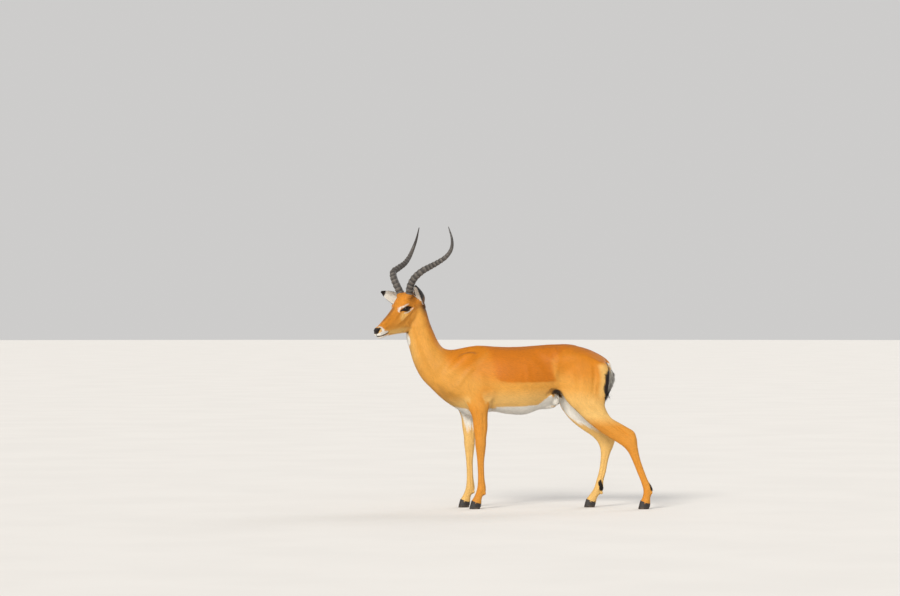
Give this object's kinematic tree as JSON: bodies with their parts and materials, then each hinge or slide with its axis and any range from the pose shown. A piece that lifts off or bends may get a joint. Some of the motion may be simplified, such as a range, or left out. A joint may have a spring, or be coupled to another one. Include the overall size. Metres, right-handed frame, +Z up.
{
  "type": "impala antelope",
  "caption": "Standing impala ram with ringed lyre-shaped horns, leaf-shaped ears, cloven hooves and a slim tail, head turned to its left: a still, life-size figure.",
  "frame": {"origin": "on the floor, under the centre of the bounding box", "axes": "+Z up, -X the way the body faces, -Y the animal's left side; the head is turned from -X towards -Y"},
  "size_m": [1.439, 0.386, 1.463],
  "materials": {
    "rufous_coat": "short flat rufous fur on hide",
    "tan_coat": "short flat tan fur on hide",
    "white_coat": "longer white hair with a dark line",
    "ear_coat": "short fur with a black tip and pale hollow",
    "horn": "ridged horn, smooth at the tips",
    "hoof": "worn black hoof horn, satin",
    "eye": "polished, near black"
  },
  "bodies": {
    "root": {"ear_left": "ear_coat", "ear_right": "ear_coat", "eye_left": "eye", "eye_right": "eye", "foreleg_left": "rufous_coat", "foreleg_right": "rufous_coat", "head": "rufous_coat", "hindleg_left": "rufous_coat", "hindleg_right": "rufous_coat", "hoof_fore_left_inner": "hoof", "hoof_fore_left_outer": "hoof", "hoof_fore_right_inner": "hoof", "hoof_fore_right_outer": "hoof", "hoof_hind_left_inner": "hoof", "hoof_hind_left_outer": "hoof", "hoof_hind_right_inner": "hoof", "hoof_hind_right_outer": "hoof", "horn_left": "horn", "horn_right": "horn", "neck": "tan_coat", "tail": "white_coat", "trunk": "rufous_coat"}
  },
  "joints": []
}
